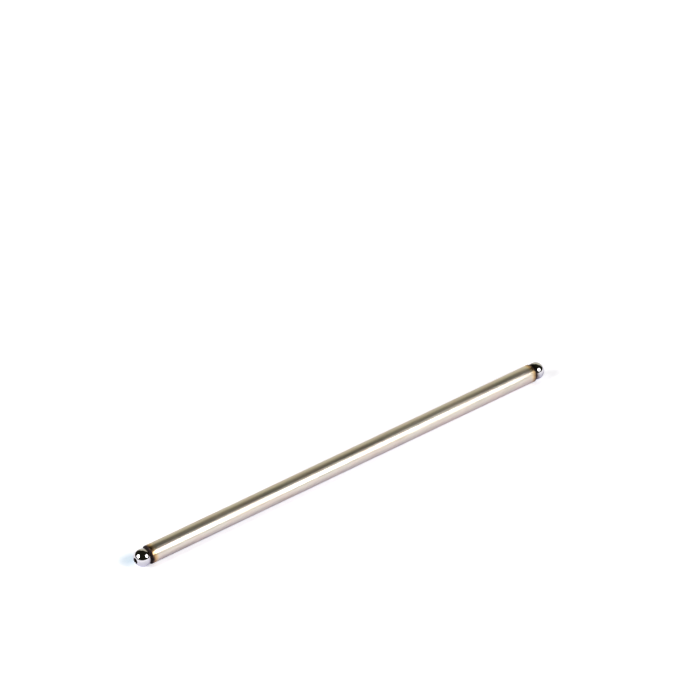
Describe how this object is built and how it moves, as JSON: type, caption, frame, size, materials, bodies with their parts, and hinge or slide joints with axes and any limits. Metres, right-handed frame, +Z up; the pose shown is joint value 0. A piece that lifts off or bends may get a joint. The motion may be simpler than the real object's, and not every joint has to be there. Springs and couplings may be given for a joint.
{
  "type": "engine pushrod",
  "caption": "Straight tubular engine pushrod with a drilled steel ball welded into each end; carries valve lift and oil from lifter to rocker arm.",
  "frame": {"origin": "middle of the rod, on its axis", "axes": "+X along the rod towards the rocker end, +Z up with the rod lying on its side"},
  "size_m": [0.2136, 0.008, 0.008],
  "materials": {
    "tube_steel": "ground satin steel, straw to brown heat tint beside each weld",
    "ball_steel": "mirror polished hardened steel",
    "weld_scale": "black weld scale"
  },
  "bodies": {
    "root": {"tube": "tube_steel", "lifter_ball": "ball_steel", "rocker_ball": "ball_steel", "lifter_weld": "weld_scale", "rocker_weld": "weld_scale"}
  },
  "joints": []
}
